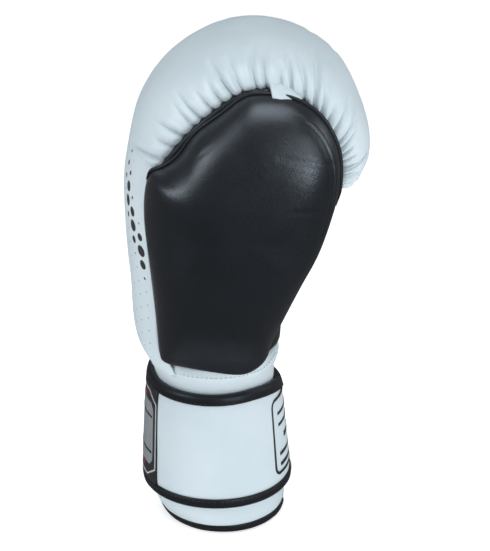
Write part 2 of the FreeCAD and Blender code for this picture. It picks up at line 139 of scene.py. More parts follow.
def ripple(point, size, seed=0.0):
    """Smooth noise between -1 and 1 with features about this many millimetres across."""
    return noise.noise(Vector(point) / size + Vector((seed, seed * 1.7, -seed)))


def mesh_piece(name, points, faces):
    """Smooth object from points in millimetres and faces."""
    mesh = bpy.data.meshes.new(name)
    mesh.from_pydata([point * MM for point in points], [], faces)
    mesh.validate()
    mesh.shade_smooth()
    piece = bpy.data.objects.new(name, mesh)
    bpy.context.scene.collection.objects.link(piece)
    return piece


def grid_mesh(name, rows, closed=False, places=None, capped=False):
    """Object from rows of points; closed joins each row's ends, and capped fills the first and last rows."""
    count = len(rows[0])
    faces = []
    for i in range(len(rows) - 1):
        for j in range(count if closed else count - 1):
            k = (j + 1) % count
            faces.append((i * count + j, i * count + k, (i + 1) * count + k, (i + 1) * count + j))
    if capped:
        faces.append(tuple(range(count))[::-1])
        faces.append(tuple((len(rows) - 1) * count + j for j in range(count)))
    piece = mesh_piece(name, [point for row in rows for point in row], faces)
    if places:
        attribute = piece.data.attributes.new("place", "FLOAT_VECTOR", "POINT")
        for index, place in enumerate(place for row in places for place in row):
            attribute.data[index].vector = (*place, 0)
    return piece


def normals_of(rows):
    """Unit normals of a grid of points, the way grid_mesh's faces look."""
    last_row, last = len(rows) - 1, len(rows[0]) - 1
    result = []
    for i, row in enumerate(rows):
        above, below = rows[min(i + 1, last_row)], rows[max(i - 1, 0)]
        result.append([(row[min(j + 1, last)] - row[max(j - 1, 0)]).cross(above[j] - below[j]).normalized()
                       for j in range(last + 1)])
    return result


def tube(name, path, radius, sides=12):
    """Round tube along points; its radius is a function of the point's index."""
    rows = []
    last = len(path) - 1
    up = Vector((0, 1, 0))
    for index, point in enumerate(path):
        along = (path[min(index + 1, last)] - path[max(index - 1, 0)]).normalized()
        side = along.cross(up).normalized()
        up = side.cross(along).normalized()
        rows.append([point + (side * math.cos(a) + up * math.sin(a)) * radius(index)
                     for a in (2 * math.pi * k / sides for k in range(sides))])
    return grid_mesh(name, rows, closed=True, capped=True)


def solidify(piece, thickness):
    modifier = piece.modifiers.new("thickness", "SOLIDIFY")
    modifier.thickness = thickness * MM
    modifier.offset = -1.0
    return piece


# ------------------------------------------------------------------ materials

class Nodes:
    """Short way to write a material's nodes."""

    def __init__(self, name):
        self.material = bpy.data.materials.new(name)
        self.material.use_nodes = True
        self.tree = self.material.node_tree
        self.shader = next(node for node in self.tree.nodes if node.type == "BSDF_PRINCIPLED")

    def put(self, node, socket, value):
        target = node.inputs[socket]
        if isinstance(value, bpy.types.NodeSocket):
            self.tree.links.new(value, target)
        else:
            target.default_value = value

    def add(self, kind, inputs=None, **settings):
        node = self.tree.nodes.new(kind)
        for key, value in settings.items():
            setattr(node, key, value)
        for socket, value in (inputs or {}).items():
            self.put(node, socket, value)
        return node

    def math(self, operation, a, b=0.0, c=None):
        node = self.add("ShaderNodeMath", {0: a, 1: b}, operation=operation)
        if c is not None:
            self.put(node, 2, c)
        return node.outputs[0]

    def place(self):
        return self.add("ShaderNodeTexCoord").outputs["Object"]

    def noise(self, scale, detail=3.0, roughness=0.5):
        node = self.add("ShaderNodeTexNoise", {"Vector": self.place(), "Scale": scale,
                                               "Detail": detail, "Roughness": roughness})
        return node.outputs["Fac"]

    def cells(self, scale):
        node = self.add("ShaderNodeTexVoronoi", {"Vector": self.place(), "Scale": scale},
                        feature="DISTANCE_TO_EDGE")
        return node.outputs["Distance"]

    def ramp(self, value, low, high, bottom=0.0, top=1.0):
        node = self.add("ShaderNodeMapRange", {"Value": value, "From Min": low, "From Max": high,
                                               "To Min": bottom, "To Max": top},
                        interpolation_type="SMOOTHSTEP")
        return node.outputs[0]

    def mix(self, share, a, b):
        node = self.add("ShaderNodeMix", data_type="RGBA")
        self.put(node, "Factor", share)
        self.put(node, 6, a)
        self.put(node, 7, b)
        return node.outputs[2]

    def bump(self, height, distance, strength):
        node = self.add("ShaderNodeBump", {"Height": height, "Distance": distance, "Strength": strength})
        return node.outputs[0]

    def finish(self, **inputs):
        for socket, value in inputs.items():
            self.put(self.shader, socket.replace("_", " "), value)
        return self.material


WHITE = ((0.60, 0.68, 0.72), (0.56, 0.645, 0.69))
BLACK = ((0.0038, 0.0041, 0.006), (0.0028, 0.003, 0.0045))
BINDING_BLACK = ((0.008, 0.0084, 0.0105), (0.006, 0.0065, 0.0085))
BLACK_WEAR = (0.008, 0.008, 0.0105)
COOL_SHEEN = (0.80, 0.90, 1.0)
DOT_BLACK = (0.03, 0.03, 0.033)


def leather_colour(nodes, light, dark):
    """Slow changes between two tones."""
    tone = nodes.ramp(nodes.noise(22, detail=2.0), 0.3, 0.7)
    return nodes.mix(tone, (*light, 1), (*dark, 1))


def leather_relief(nodes):
    """Fine pores and a soft crinkle."""
    pores = nodes.ramp(nodes.cells(1100), 0.0, 0.35)
    crinkle = nodes.noise(420, detail=4.0, roughness=0.6)
    height = nodes.math("ADD", nodes.math("MULTIPLY", pores, 0.6), nodes.math("MULTIPLY", crinkle, 0.8))
    return nodes.bump(height, 0.00012, 0.55)


def leather_roughness(nodes, low, high):
    return nodes.ramp(nodes.noise(35, detail=3.0), 0.25, 0.75, low, high)


def leather(name, tones, roughness, wear=None, gloss=0.5):
    """Leather of two tones, with paler scuffs if it is worn."""
    nodes = Nodes(name)
    colour = leather_colour(nodes, *tones)
    if wear:
        scuffs = nodes.ramp(nodes.noise(60, detail=6.0, roughness=0.7), 0.62, 0.8, 0.0, 0.5)
        colour = nodes.mix(scuffs, colour, (*wear, 1))
    shine = leather_roughness(nodes, roughness - 0.05, roughness + 0.06)
    return nodes.finish(Base_Color=colour, Roughness=shine, Specular_IOR_Level=gloss,
                        Specular_Tint=(*COOL_SHEEN, 1), Normal=leather_relief(nodes))


def printed_leather():
    """White leather with a diagonal band of printed dots, largest along the middle of the band.

    The dots stand in staggered columns. The attribute "place" holds the metres along the fist and the
    metres from its thumb seam.
    """
    nodes = Nodes("white_leather_printed")

    def add(a, b):
        return nodes.math("ADD", a, b)

    def subtract(a, b):
        return nodes.math("SUBTRACT", a, b)

    def multiply(a, b):
        return nodes.math("MULTIPLY", a, b)

    column_width, row_height, margin = 0.008, 0.009, 0.005
    band_slope, band_start = 2.0, 0.0665
    largest, smallest = 0.0037, 0.0005
    place = nodes.add("ShaderNodeAttribute", attribute_name="place").outputs["Vector"]
    split = nodes.add("ShaderNodeSeparateXYZ", {0: place})
    along, across = split.outputs[0], split.outputs[1]
    column = nodes.math("FLOOR", nodes.math("DIVIDE", subtract(across, margin), column_width))
    stagger = multiply(nodes.math("MODULO", column, 2.0), 0.5)
    row_place = add(nodes.math("DIVIDE", along, row_height), stagger)
    row = nodes.math("FLOOR", row_place)
    off_along = multiply(subtract(subtract(row_place, row), 0.5), row_height)
    column_middle = nodes.math("MULTIPLY_ADD", add(column, 0.5), column_width, margin)
    off_across = subtract(across, column_middle)
    distance = nodes.math("SQRT", add(multiply(off_along, off_along), multiply(off_across, off_across)))
    row_middle = multiply(subtract(add(row, 0.5), stagger), row_height)
    band = nodes.math("MULTIPLY_ADD", column_middle, band_slope, band_start)
    above = subtract(row_middle, band)
    size = nodes.ramp(nodes.math("ABSOLUTE", above), 0.002, 0.022, largest, smallest)
    size = nodes.math("MINIMUM", size, nodes.ramp(column_middle, 0.002, 0.008, 0.0006, 0.004))
    low_fade = nodes.ramp(row_middle, 0.006, 0.02)
    high_fade = multiply(nodes.ramp(above, 0.020, 0.030, 1.0, 0.0),
                         nodes.ramp(column_middle, 0.026, 0.040, 1.0, 0.0))
    size = multiply(multiply(size, low_fade), high_fade)
    dot = nodes.ramp(subtract(size, distance), -0.0001, 0.0002)
    colour = nodes.mix(dot, leather_colour(nodes, *WHITE), (*DOT_BLACK, 1))
    return nodes.finish(Base_Color=colour, Roughness=leather_roughness(nodes, 0.40, 0.50),
                        Normal=leather_relief(nodes))


def cloth(name, colour, scale=2600.0):
    """Woven lining."""
    nodes = Nodes(name)
    split = nodes.add("ShaderNodeSeparateXYZ", {0: nodes.place()})
    warp = nodes.math("SINE", nodes.math("MULTIPLY", split.outputs[0], scale * 2))
    weft = nodes.math("SINE", nodes.math("MULTIPLY", split.outputs[2], scale * 2))
    weave = nodes.math("MULTIPLY", warp, weft)
    shade = nodes.ramp(weave, -1.0, 1.0)
    dark = tuple(0.6 * part for part in colour)
    return nodes.finish(Base_Color=nodes.mix(shade, (*dark, 1), (*colour, 1)), Roughness=0.85,
                        Normal=nodes.bump(weave, 0.0001, 0.5))


def plain(name, colour, roughness, scale=300.0):
    """Moulded plastic or print with a faint grain."""
    nodes = Nodes(name)
    speck = nodes.ramp(nodes.noise(scale, detail=3.0), 0.3, 0.7)
    dark = tuple(0.88 * part for part in colour)
    return nodes.finish(Base_Color=nodes.mix(speck, (*colour, 1), (*dark, 1)), Roughness=roughness,
                        Normal=nodes.bump(speck, 0.00005, 0.3))


def make_materials():
    return {
        "white": leather("white_leather", WHITE, 0.45),
        "printed": printed_leather(),
        "black": leather("black_leather", BLACK, 0.39, wear=BLACK_WEAR, gloss=0.85),
        "binding": leather("black_binding", BINDING_BLACK, 0.45, gloss=0.45),
        "lining": cloth("lining_cloth", (0.035, 0.036, 0.04)),
        "hooks": cloth("hook_fabric", (0.02, 0.02, 0.022), 1400.0),
        "grip": plain("grip_foam", (0.03, 0.03, 0.03), 0.8),
        "silver": plain("silver_patch", (0.24, 0.27, 0.285), 0.38),
        "grey_line": plain("grey_line", (0.45, 0.48, 0.49), 0.45),
        "print": plain("black_print", (0.02, 0.02, 0.022), 0.5),
        "red": plain("red_bar", (0.35, 0.03, 0.03), 0.5),
        "thread": plain("white_thread", (0.62, 0.66, 0.68), 0.7, 2500.0),
        "black_thread": plain("black_thread", (0.03, 0.03, 0.033), 0.6, 2500.0),
    }


def give(piece, material):
    piece.data.materials.clear()
    piece.data.materials.append(material)
    return piece


# ------------------------------------------------------------------ fist

def fist_frame(s):
    """Inner point, outward unit direction, depth, half width and sideways place of the fist at section s."""
    ox, oz, ix, iz, half_width = spline(FIST, s)
    inner = Vector((ix, 0, iz))
    span = Vector((ox, 0, oz)) - inner
    side = FIST_OFFSET * min(1.0, s / OFFSET_SECTION)
    return inner, span.normalized(), span.length, half_width, side


def fist_point(s, angle, inset=0.0):
    """Point of the fist: angle 0 is the little finger's side, 90 degrees outside, 180 the thumb side."""
    inner, out, depth, half_width, side = fist_frame(s)
    power = 2 / FULLNESS
    along = signed_power(math.sin(angle), power) * (depth / 2 - inset)
    across = signed_power(math.cos(angle), power) * (half_width - inset)
    return inner + out * (depth / 2 + along) + Vector((0, side + across, 0))


def share_angle(share):
    """Angle at which the section reaches this share of its depth, counted from the little finger's side."""
    return math.asin(signed_power(2 * share - 1, FULLNESS / 2))


def thumb_seam_angle(s):
    return math.pi - share_angle(value_at(THUMB_SEAM, s))


def palm_seam_angle(s):
    return share_angle(value_at(PALM_SEAM, s))


def pucker_lines(seed, count, start, end):
    """Places, lengths and depths of the gathers along a seam, in section numbers and millimetres."""
    draw = random.Random(seed)
    lines = []
    for index in range(count):
        place = start + (end - start) * (index + 0.5 + draw.uniform(-0.25, 0.25)) / count
        length = draw.choice(PUCKER_LENGTHS) * draw.uniform(0.85, 1.15)
        length *= 1 - 0.45 * smooth(place, 9.0, 10.5)
        lines.append((place, length, draw.uniform(0.7, 1.25), draw.uniform(-0.35, 0.35)))
    return lines


def puckers(s, distance, lines, spacing):
    """Height of the gathered leather at s, this many millimetres outside the seam."""
    height = 0.0
    for place, length, depth, lean in lines:
        gap = abs((s - place) / spacing - lean * distance / 20)
        if gap > 1.6:
            continue
        groove_width = 0.105 + 0.003 * distance
        fade = (1 - smooth(distance, length * 0.1, length)) ** 0.8
        groove = 3.3 * math.exp(-(gap / groove_width) ** 1.2)
        ridge = 0.8 * hill(gap, 0.42, 0.24)
        height += depth * fade * (ridge - groove)
    return height


def travel_along(rows):
    """Distance of each row from the first, and of each point from its row's two ends."""
    up = [0.0]
    for below, above in zip(rows, rows[1:]):
        middle = len(above) // 2
        up.append(up[-1] + (above[middle] - below[middle]).length)
    ends = []
    for row in rows:
        lengths = [0.0]
        for a, b in zip(row, row[1:]):
            lengths.append(lengths[-1] + (b - a).length)
        ends.append([(length, lengths[-1] - length) for length in lengths])
    return up, ends


def section_numbers(first, last, plain_step, fine_step):
    """Section numbers along the fist, closer together where the leather is gathered."""
    numbers = [first]
    while numbers[-1] < last:
        fine = PUCKERS_FROM - 0.4 < numbers[-1] < PUCKERS_TO + 0.3
        numbers.append(min(last, numbers[-1] + (fine_step if fine else plain_step)))
    return numbers


def make_white_shell(materials):
    """White leather over the back, knuckles and fingers, gathered into puckers at its inner seams."""
    thumb_lines = pucker_lines(7, THUMB_SIDE_PUCKERS, PUCKERS_FROM, PUCKERS_TO)
    palm_lines = pucker_lines(11, PALM_SIDE_PUCKERS, PUCKERS_FROM + 0.3, PUCKERS_TO)
    spacing = (PUCKERS_TO - PUCKERS_FROM) / THUMB_SIDE_PUCKERS
    around = 150
    numbers = section_numbers(0.12, len(FIST) - 1, 0.07, 0.02)
    rows = []
    for s in numbers:
        first, last = palm_seam_angle(s), thumb_seam_angle(s)
        rows.append([fist_point(s, lerp(first, last, t - 0.7 * math.sin(2 * math.pi * t) / (2 * math.pi)))
                     for t in (j / around for j in range(around + 1))])
    normals = normals_of(rows)
    up, ends = travel_along(rows)
    shaped, places = [], []
    for i, s in enumerate(numbers):
        gathered = smooth(s, PUCKERS_FROM - 0.15, PUCKERS_FROM + 0.35)
        line, place = [], []
        for j, point in enumerate(rows[i]):
            from_palm, from_thumb = ends[i][j]
            edge = min(from_palm, from_thumb)
            pulled_in = 5.0 * (1 - smooth(edge, -1, 7)) ** 1.6
            height = gathered * puckers(s, from_thumb, thumb_lines, spacing)
            height += gathered * puckers(s, from_palm, palm_lines, spacing)
            height += gathered * (0.9 * hill(edge, 13, 9) - pulled_in)
            height -= (1 - gathered) * 1.2 * (1 - smooth(edge, 0, 3.5))
            height += 0.45 * ripple(point, 30, 3) + 0.10 * ripple(point, 8, 5)
            line.append(point + normals[i][j] * height)
            place.append((up[i] * MM, from_thumb * MM))
        shaped.append(line)
        places.append(place)
    close_end(shaped, Vector((0.15, 0, -1)), 8)
    places += [places[-1]] * (len(shaped) - len(places))
    piece = grid_mesh("fist_white_leather", shaped, places=places)
    return solidify(give(piece, materials["printed"]), LEATHER)


def close_end(rows, direction, depth):
    """Add rows that close the end of the fingers with a rounded cap."""
    inner, out, length, _, side = fist_frame(len(FIST) - 1)
    centre = inner + out * length / 2 + Vector((0, side, 0))
    end = rows[-1]
    steps = 9
    for step in range(1, steps + 1):
        turn = math.pi / 2 * step / steps
        rows.append([centre + (point - centre) * max(math.cos(turn), 0.01)
                     + direction * (math.sin(turn) * depth) for point in end])


def make_inner_leather(name, first, last, material):
    """Black leather inside the white: hollowed beside the thumb, plain over the palm or the fingers."""
    around = 120
    count = int((last - first) / 0.07)
    rows = []
    for i in range(count + 1):
        s = lerp(first, last, i / count)
        start, stop = thumb_seam_angle(s) - 0.06, palm_seam_angle(s) + 2 * math.pi + 0.06
        row = []
        for angle in (lerp(start, stop, j / around) for j in range(around + 1)):
            tucked = 5.0 * (1 - smooth(fist_point(s, angle, LEATHER).z, 112, 121))
            row.append(fist_point(s, angle, LEATHER + tucked))
        travelled = 0.0
        shaped = [row[0]]
        for before, point in zip(row, row[1:]):
            travelled += (point - before).length
            hollow = smooth(point.z, 104, 114) * (1 - smooth(point.x, 77, 86))
            pushed = max(point.y, lerp(point.y, -42.0, smooth(travelled, 1.5, 12)))
            shaped.append(Vector((point.x, lerp(point.y, pushed, hollow), point.z)))
        rows.append(shaped)
    normals = normals_of(rows)
    rows = [[point + normal * (0.5 * ripple(point, 22, 9) + 0.12 * ripple(point, 6, 2))
             for point, normal in zip(row, line)] for row, line in zip(rows, normals)]
    if last == len(FIST) - 1:
        close_end(rows, Vector((-0.1, 0, -1)), 4)
    return solidify(give(grid_mesh(name, rows), material), LEATHER)


def make_seam_binding(name, side_angle, first, last, material, seed):
    """Black binding that the gathered leather is sewn to."""
    count = int((last - first) / 0.04)
    numbers = [lerp(first, last, i / count) for i in range(count + 1)]
    path = [fist_point(s, side_angle(s), 2.6) for s in numbers]
    return give(tube(name, path, lambda i: 2.9 + 0.15 * ripple(path[i], 9, seed)), material)


# ------------------------------------------------------------------ thumb

# Edge of the thumb and side panel, seen from the thumb side, with the depth of its seam.
THUMB_EDGE = [
    (-37, -46, 150), (-35, -45, 124), (-31.5, -46, 117), (-19, -50, 115), (0, -53, 112.5), (15, -54, 111.5),
    (24, -52, 114), (31, -48, 120), (36, -46, 134), (43, -51, 151), (52, -58, 172), (62, -62, 193),
    (69, -64, 214), (74, -64, 235), (74, -64, 255), (69, -64, 270), (60, -63, 282), (46, -62, 290),
    (28, -61, 292.5), (17, -60, 290), (4, -60, 280), (-11, -58, 268), (-21, -56, 254), (-30, -54, 246),
    (-38, -52, 242), (-42, -49, 231), (-43, -47, 211), (-40, -46, 180),
]
THUMB_MIDDLE = (15, 210)
# Height, and how far the middle of the thumb stands out there.
THUMB_FRONT = [(105, -50), (124, -66), (140, -74), (160, -81), (185, -87), (210, -91), (243, -92), (271, -89),
               (300, -84)]
# Creases of the thumb's leather: both ends in XZ, depth and width.
CREASES = [
    (38, 262, 73, 253, 0.8, 1.3),
    (46, 229, 71, 224, 0.35, 1.2),
    (-12, 262, -3, 271, 0.45, 0.7),
    (-10, 259, 1, 268, 0.4, 0.7),
    (-8, 266, -1, 275, 0.4, 0.7),
    (55, 205, 66, 214, 0.3, 1.2),
]


def straight_front(z):
    """How far the thumb stands out at this height, in straight runs."""
    for (low, near), (high, far) in zip(THUMB_FRONT, THUMB_FRONT[1:]):
        if z <= high:
            break
    return lerp(near, far, clamp((z - low) / (high - low)))


def front_at(z):
    """The same with its corners rounded off."""
    reach, half = 18, 4
    return sum(straight_front(z + reach * k / half) for k in range(-half, half + 1)) / (2 * half + 1)


def crease_depth(x, z):
    """Depth of the creases in the thumb's leather."""
    total = 0.0
    for x0, z0, x1, z1, depth, width in CREASES:
        run = Vector((x1 - x0, z1 - z0))
        along = clamp(((x - x0) * run.x + (z - z0) * run.y) / run.length_squared)
        gap = math.hypot(x - x0 - run.x * along, z - z0 - run.y * along)
        fade = math.sin(math.pi * clamp(0.08 + along * 0.9)) ** 0.6
        total += depth * fade * (math.exp(-gap / width) - 0.35 * hill(gap, 2.2 * width, width))
    return total


def thumb_point(t, r, front):
    """Point of the thumb's skin: t goes round its edge and r from the middle to the edge."""
    edge = closed_spline(THUMB_EDGE, t)
    spread = 0.8 * (1 - r ** 4)
    if front and spread > 0:
        count = len(THUMB_EDGE)
        around = [closed_spline(THUMB_EDGE, t + count + spread * k) for k in (-1.5, -1, -0.5, 0, 0.5, 1, 1.5)]
        edge = sum(around, Vector()) / len(around)
    x = lerp(THUMB_MIDDLE[0], edge.x, r)
    z = lerp(THUMB_MIDDLE[1], edge.z, r)
    if not front:
        back = -46.5 + 6.5 * (1 - smooth(z, 140, 190))
        return Vector((x, lerp(edge.y, max(edge.y, back), (1 - r ** 4) ** 0.5), z))
    rim = smooth(edge.x, 45, 62) * smooth(edge.z, 195, 225)
    run = Vector((edge.x - THUMB_MIDDLE[0], edge.z - THUMB_MIDDLE[1])).normalized()
    roundness = 2.4 + 3.6 * run.y ** 2
    y = lerp(edge.y, front_at(z), (1 - r ** roundness) ** 0.48)
    y += rim * (1.2 * hill(r, 0.925, 0.016) - 0.7 * hill(r, 0.958, 0.016))
    y += crease_depth(x, z)
    point = Vector((x, y, z))
    return point + Vector((0, -0.7, 0)) * ripple(point, 34, 12) * (1 - r ** 8)


def make_thumb(materials):
    """Padded thumb, which grows out of the side panel below its bend."""
    around = 224
    front_steps, back_steps = 46, 14
    radii = [(math.sin(math.pi / 2 * k / front_steps), True) for k in range(front_steps + 1)]
    radii += [(math.cos(math.pi / 2 * k / back_steps), False) for k in range(1, back_steps + 1)]
    smallest = 0.003
    rows = [[thumb_point(len(THUMB_EDGE) * j / around, max(r, smallest), front) for j in range(around)]
            for r, front in radii]
    return give(grid_mesh("thumb_leather", rows, closed=True, capped=True), materials["black"])


def make_thumb_piping(materials):
    """Piping along the top edge of the thumb, from the back of the hand to the palm."""
    first, last = 12.5, 24.6
    steps = 150
    path = []
    for i in range(steps + 1):
        edge = closed_spline(THUMB_EDGE, lerp(first, last, i / steps))
        out = Vector((edge.x - THUMB_MIDDLE[0], 0, edge.z - THUMB_MIDDLE[1])).normalized()
        path.append(edge + out * 0.3)

    def radius(i):
        return 0.2 + 1.25 * smooth(i, -1, 6) * (1 - smooth(i, steps - 8, steps + 2))

    return give(tube("thumb_piping", path, radius), materials["binding"])


def make_lock_tab(materials):
    """White leather tab that ties the back of the thumb to the fist."""
    on_fist, on_thumb = Vector((41, -52, 294.5)), Vector((42.5, -66, 288))
    steps = 16
    rows = []
    for t in (i / steps for i in range(steps + 1)):
        middle = on_fist.lerp(on_thumb, t) + Vector((0, 0, 1.2 * math.sin(math.pi * t)))
        half = lerp(9.5, 8.5, t)
        rows.append([middle + Vector((half * a, 0, -0.5 * half * a - 1.5 * a ** 2))
                     for a in (2 * k / steps - 1 for k in range(steps + 1))])
    return solidify(give(grid_mesh("thumb_lock_tab", rows), materials["white"]), LEATHER)


# ------------------------------------------------------------------ cuff

STRAP_BOTTOM = 20.4
CUFF_TOP = 103.0
# Degrees from the middle of the palm to each edge of the slit.
SLIT = 6.2


def cuff_axes(z):
    """Middle and half sizes of the cuff at this height: a cone, tucked in below the strap."""
    t = (max(z, STRAP_BOTTOM) - STRAP_BOTTOM) / (CUFF_TOP - STRAP_BOTTOM)
    tuck = clamp((STRAP_BOTTOM - z) / STRAP_BOTTOM) ** 1.2
    return 4.2 * tuck - 2.0 * t, lerp(42.6, 36.6, t) - 5.0 * tuck, lerp(50.6, 46.6, t) - 4.6 * tuck


def oval_point(angle, z, middle, depth, width):
    """Point of a level oval, in the direction of an angle in degrees from the palm."""
    turn = math.radians(angle)
    radius = 1 / math.hypot(math.cos(turn) / depth, math.sin(turn) / width)
    return Vector((middle + radius * math.cos(turn), radius * math.sin(turn), z))


def cuff_point(angle, z, out=0.0):
    """Point this far outside the cuff."""
    middle, depth, width = cuff_axes(z)
    return oval_point(angle, z, middle, depth + out, width + out)


def cuff_normal(angle, z):
    _, depth, width = cuff_axes(z)
    point = cuff_point(angle, z)
    return Vector((point.x / depth ** 2, point.y / width ** 2, 0)).normalized()


# A stitch: share of its length, lift off the leather in millimetres, and share of the thread's radius.
STITCH = ((0.0, -0.25, 0.5), (0.18, 0.22, 0.95), (0.5, 0.34, 1.0), (0.82, 0.22, 0.95), (1.0, -0.25, 0.5))


def stitch_row(name, path, normals, material, stitch, gap, radius):
    """Separate stitches along a path, each a small thread that dips into the leather at both ends."""
    lengths = [0.0]
    for a, b in zip(path, path[1:]):
        lengths.append(lengths[-1] + (b - a).length)
    points, faces = [], []
    sides = 6
    start = gap
    while start + stitch < lengths[-1]:
        first = len(points)
        for share, lift, size in STITCH:
            where, normal, along = at_length(path, normals, lengths, lerp(start, start + stitch, share))
            side = along.cross(normal).normalized()
            for k in range(sides):
                turn = 2 * math.pi * k / sides
                points.append(where + normal * lift + (side * math.cos(turn) + normal * math.sin(turn))
                              * (radius * size))
        for ring in range(len(STITCH) - 1):
            for k in range(sides):
                a = first + ring * sides + k
                b = first + ring * sides + (k + 1) % sides
                faces.append((a, b, b + sides, a + sides))
        faces.append(tuple(range(first, first + sides))[::-1])
        last = first + (len(STITCH) - 1) * sides
        faces.append(tuple(range(last, last + sides)))
        start += stitch + gap
    return give(mesh_piece(name, points, faces), material)


def at_length(path, normals, lengths, where):
    """Point, normal and direction of a path this far along it."""
    index = 0
    while index < len(lengths) - 2 and lengths[index + 1] < where:
        index += 1
    share = clamp((where - lengths[index]) / max(lengths[index + 1] - lengths[index], 1e-6))
    point = path[index].lerp(path[index + 1], share)
    normal = normals[index].lerp(normals[index + 1], share).normalized()
    return point, normal, (path[index + 1] - path[index]).normalized()


def band_top(angle):
    """Upper edge of the wrist band, which rises towards the palm."""
    palm = smooth(angle, -50, -24) * (1 - smooth(angle, 20, 70))
    return 114.5 + 5.5 * palm


def band_point(angle, share):
    """Point of the wrist band, this share of the way up it."""
    z = lerp(91, band_top(angle), share)
    middle, depth, width = cuff_axes(z)
    flare = smooth(z, 98, 110)
    over_cuff = 0.5
    depth += over_cuff + flare * (5.2 if math.cos(math.radians(angle)) < 0 else 4.6)
    width += over_cuff + flare * 3.0
    point = oval_point(angle, z, middle, depth, width)
    roll = 2.6 * smooth(share, 0.86, 1.0) ** 2
    crinkle = 0.35 * ripple(point, 9, 4) + 0.5 * ripple((point.x, point.y * 0.4, point.z * 2.2), 11, 8)
    bulge = 1.0 * math.sin(math.pi * clamp(share * 1.15))
    return point + cuff_normal(angle, z) * (bulge - roll + crinkle * smooth(share, 0.2, 0.5))


def make_wrist_band(materials):
    """White band between the cuff and the fist, creased, with a stitched line under its upper edge."""
    around, high = 200, 26
    rows = [[band_point(360 * j / around, i / high) for j in range(around)] for i in range(high + 1)]
    band = solidify(give(grid_mesh("wrist_band", rows, closed=True), materials["white"]), 1.8)
    angles = [lerp(-150, -20, k / 120) for k in range(121)]
    path = [band_point(angle, 0.70 + 0.02 * math.sin(math.radians(angle * 2))) for angle in angles]
    normals = [cuff_normal(angle, 105) for angle in angles]
    thread = stitch_row("wrist_band_stitches", path, normals, materials["thread"], 1.9, 1.1, 0.26)
    return [band, thread]


def cuff_puff(z):
    """How far the cuff's leather swells between the hem and the strap."""
    return 0.9 * hill(z, 12, 8)


def make_cuff(materials):
    """Cuff leather, split on the palm side, with stitched strips beside the split and a rolled black hem."""
    heights = [4.2, 5.5, 7, 9, 11, 13, 15, 17, 19, 21, 24, 30, 40, 52, 64, 76, 88, 98]
    around = 180
    rows = []
    for z in heights:
        line = []
        for angle in (lerp(SLIT, 360 - SLIT, j / around) for j in range(around + 1)):
            edge = min(angle - SLIT, 360 - SLIT - angle)
            turn_in = 1.8 * (1 - smooth(edge, 0, 2.5))
            soft = 0.5 * ripple((angle / 3, z, 0), 16, 6) * (1 - smooth(z, 20, 26))
            line.append(cuff_point(angle, z, cuff_puff(z) + soft - turn_in))
        rows.append(line)
    cuff_piece = solidify(give(grid_mesh("cuff_leather", rows), materials["white"]), 2.0)
    threads = []
    for side, sign in (("thumb", -1), ("finger", 1)):
        for line, angle in (("outer", 13.5), ("inner", 9.5)):
            stitched = range(6, 92)
            path = [cuff_point(sign * angle, z, cuff_puff(z)) for z in stitched]
            normals = [cuff_normal(sign * angle, z) for z in stitched]
            threads.append(stitch_row(f"slit_stitches_{side}_side_{line}", path, normals,
                                      materials["thread"], 2.0, 1.0, 0.28))
    return [cuff_piece, make_hem(materials)] + threads


def make_hem(materials):
    """Rolled binding round the lower edge, outside and inside."""
    inside, outside, top = -8.6, 1.3, 6.0
    corners = [(outside - 1.0, top), (outside, top - 1.0), (outside + 0.1, 2.4), (outside - 0.5, 0.8),
               (outside - 1.8, 0.0), (inside + 1.8, 0.0), (inside + 0.5, 0.8), (inside - 0.1, 2.4),
               (inside, top - 1.0), (inside + 1.0, top)]
    start = SLIT - 0.6
    around = 220
    rows = [[cuff_point(angle, z, out + 0.18 * ripple((angle / 2, z, 4), 5, 7)) for out, z in corners]
            for angle in (lerp(start, 360 - start, j / around) for j in range(around + 1))]
    hem = give(grid_mesh("hem_binding", rows, closed=True, capped=True), materials["binding"])
    modifier = hem.modifiers.new("round", "SUBSURF")
    modifier.levels = modifier.render_levels = 2
    return hem


# ------------------------------------------------------------------ strap

# How far the two faces of the strap stand off the cuff, and the width of its bindings.
STRAP_INSIDE = 0.6
STRAP_OUTSIDE = 5.0
BINDING = 6.9


def strap_top(angle):
    """Upper edge of the strap, which falls towards the slit in the palm."""
    past = clamp(angle + 60, 0, 65)
    return 96.4 + 1.2 * smooth(-angle, 145, 165) - 0.06 * past - 0.0013 * past ** 2


def strap_height(angle, anchor, rise):
    """Height on the strap: anchor 0 is its lower edge, 1 its upper edge."""
    return lerp(STRAP_BOTTOM, strap_top(angle), anchor) + rise


def strap_ring(name, first, last, profile, material, bulge=None):
    """Closed profile of (anchor, rise, distance out) swept round the cuff between two angles."""
    steps = max(4, int(abs(last - first) / 1.2))
    outer_face_from = 3
    rows = []
    for step in range(steps + 1):
        angle = lerp(first, last, step / steps)
        row = []
        for anchor, rise, out in profile:
            z = strap_height(angle, anchor, rise)
            extra = bulge(angle, z, anchor) if bulge and out > outer_face_from else 0.0
            row.append(cuff_point(angle, z, out + extra))
        rows.append(row)
    return give(grid_mesh(name, rows, closed=True), material)


def leather_profile():
    """Padded face of the strap between its bindings."""
    edge = BINDING - 1.4
    inside = STRAP_INSIDE + 0.3
    profile = [(0, edge, inside), (1, -edge, inside)]
    steps = 26
    for k in range(steps + 1):
        share = 1 - k / steps
        rise = lerp(edge, -edge, share)
        pillow = 0.75 * (1 - abs(2 * share - 1) ** 7) - 0.5
        profile.append((share, rise, STRAP_OUTSIDE + pillow))
    return profile


def leather_bulge(angle, z, anchor):
    """Slow waves and a few faint creases in the strap's face."""
    inside = math.sin(math.pi * clamp(anchor)) ** 0.5
    wave = 0.35 * ripple((angle * 0.5, z * 0.35, 0), 14, 21)
    crease = 0.22 * math.exp(-abs(z - 41 + 0.12 * (angle + 90)) / 0.9) * hill(angle, -88, 14)
    return inside * (wave - crease)


